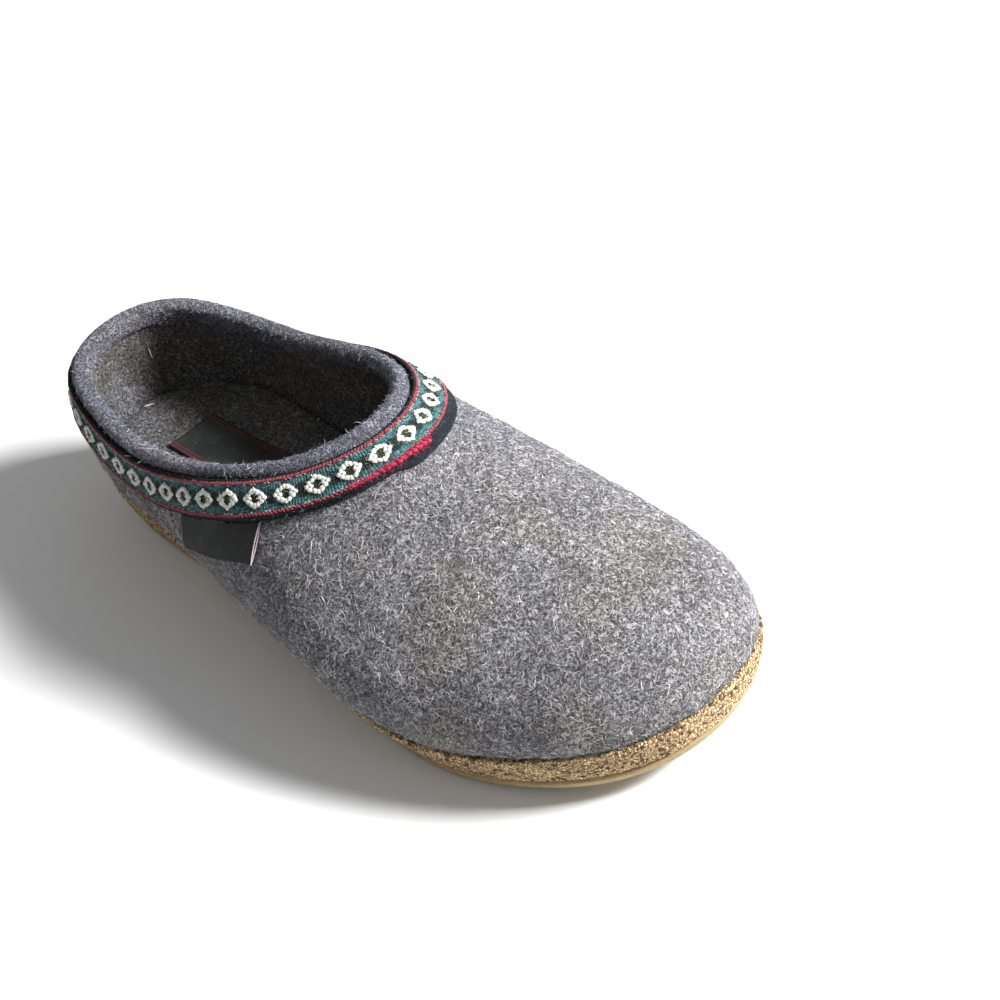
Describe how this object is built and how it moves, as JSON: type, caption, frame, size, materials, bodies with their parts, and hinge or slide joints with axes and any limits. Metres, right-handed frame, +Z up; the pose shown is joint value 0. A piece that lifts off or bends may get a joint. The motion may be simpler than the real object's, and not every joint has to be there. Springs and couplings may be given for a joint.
{
  "type": "felt clog slipper",
  "caption": "Right felt clog slipper with a closed heel, a bound collar with a woven ribbon, a felt footbed, a cork midsole and a rubber outsole.",
  "frame": {"origin": "on the floor under the heel, at the centre of the heel's flat spot", "axes": "+Y towards the toe, +X towards the outer side of the foot, +Z up"},
  "size_m": [0.1089, 0.2633, 0.0785],
  "materials": {
    "grey_felt": "matte",
    "roll_felt": "matte",
    "navy_felt": "matte",
    "ribbon_weave": "matte",
    "black_weave": "satin",
    "cork": "matte",
    "rubber": "matte"
  },
  "bodies": {
    "root": {"outsole": "rubber", "midsole": "cork", "footbed": "grey_felt", "upper": "grey_felt", "collar_roll": "roll_felt", "ribbon_backing": "navy_felt", "ribbon": "ribbon_weave", "side_tag": "black_weave", "footbed_label": "black_weave"}
  },
  "joints": []
}
